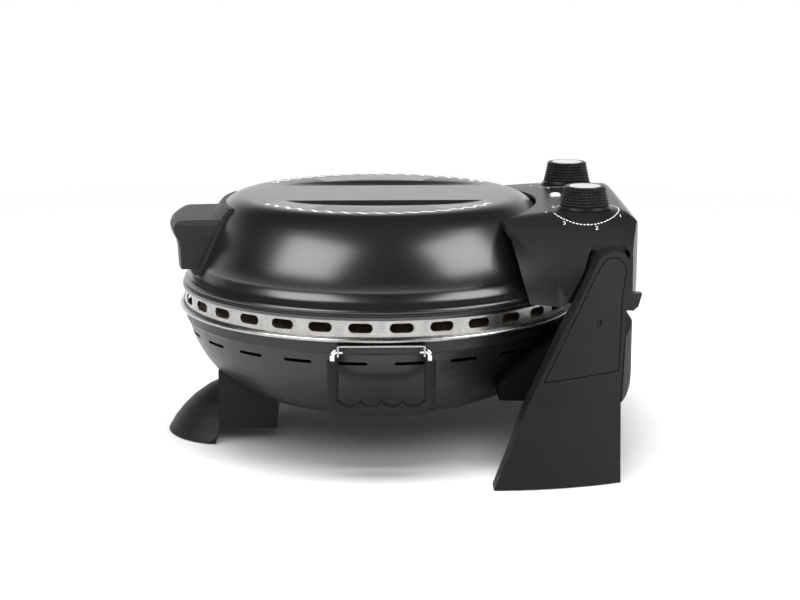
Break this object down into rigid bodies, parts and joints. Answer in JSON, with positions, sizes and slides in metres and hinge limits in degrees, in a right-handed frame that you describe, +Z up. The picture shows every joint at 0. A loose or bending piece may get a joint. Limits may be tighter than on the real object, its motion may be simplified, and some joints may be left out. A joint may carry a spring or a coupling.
{
  "type": "electric pizza maker",
  "caption": "Countertop pizza cooker with a domed lid on a rear hinge, a vented steel ring, a bowl base, side bails, two knobs and three splayed feet.",
  "frame": {"origin": "middle of the oven's bounding box, on the floor under it", "axes": "+X to the oven's right side seen from behind the handle, -Y towards the lid handle, +Y towards the hinge, +Z up"},
  "size_m": [0.4132, 0.414, 0.2294],
  "materials": {
    "bowl_enamel": "semi-gloss black enamel",
    "stainless": "brushed stainless steel",
    "stone": "porous refractory stone",
    "tube": "heat-darkened steel tube",
    "sheet": "plain aluminised sheet",
    "moulding": "fine-grained matte black",
    "cover": "fine-grained matte black",
    "rubber": "black rubber",
    "screw": "blackened steel",
    "pin": "bright steel",
    "wire": "polished wire",
    "grip": "soft matte black",
    "dome_paint": "satin black",
    "handle": "matte dark grey",
    "plastic_light": "off-white plastic",
    "ceramic": "unglazed white ceramic",
    "lamp": "frosted white lens",
    "knob": "matte black",
    "disc": "spun aluminium"
  },
  "bodies": {
    "base": {"base_bowl": "bowl_enamel", "vent_ring": "stainless", "baking_stone": "stone", "lower_element": "tube", "element_feet": "sheet", "reflector_pan": "sheet", "front_foot": "moulding", "foot_pads": "rubber", "right_leg": "moulding", "left_leg": "moulding", "right_leg_cover": "cover", "left_leg_cover": "cover", "leg_screws": "screw", "hinge_pins": "pin", "rear_housing": "moulding", "cable_gland": "rubber", "terminal_block": "ceramic", "right_bail_bracket": "stainless", "left_bail_bracket": "stainless"},
    "lid": {"lid_dome": "dome_paint", "lid_liner": "sheet", "upper_element": "tube", "element_hangers": "sheet", "lid_handle": "handle", "handle_plate": "handle", "handle_screws": "screw", "control_housing": "moulding", "housing_floor": "moulding", "hinge_bushes": "plastic_light", "pilot_lamp": "lamp", "thermostat": "ceramic", "timer": "sheet"},
    "right_knob": {"thermostat_knob": "knob", "thermostat_disc": "disc", "thermostat_shaft": "pin"},
    "left_knob": {"timer_knob": "knob", "timer_disc": "disc", "timer_shaft": "pin"},
    "right_bail": {"right_bail_wire": "wire", "right_bail_grip": "grip"},
    "left_bail": {"left_bail_wire": "wire", "left_bail_grip": "grip"}
  },
  "joints": [
    {"name": "lid_hinge", "type": "hinge", "parent": "base", "child": "lid", "pos_m": [0, 0.1715, 0.1696], "axis": [-1, 0, 0], "range_deg": [0, 95]},
    {"name": "thermostat_turn", "type": "hinge", "parent": "lid", "child": "right_knob", "pos_m": [0.075, 0.1555, 0.2], "axis": [0, 0, -1], "range_deg": [0, 270]},
    {"name": "timer_turn", "type": "hinge", "parent": "lid", "child": "left_knob", "pos_m": [-0.075, 0.1555, 0.2], "axis": [0, 0, -1], "range_deg": [0, 300]},
    {"name": "right_bail_swing", "type": "hinge", "parent": "base", "child": "right_bail", "pos_m": [0.174, -0.019, 0.10905], "axis": [0, -1, 0], "range_deg": [0, 90]},
    {"name": "left_bail_swing", "type": "hinge", "parent": "base", "child": "left_bail", "pos_m": [-0.174, -0.019, 0.10905], "axis": [0, 1, 0], "range_deg": [0, 90]}
  ]
}
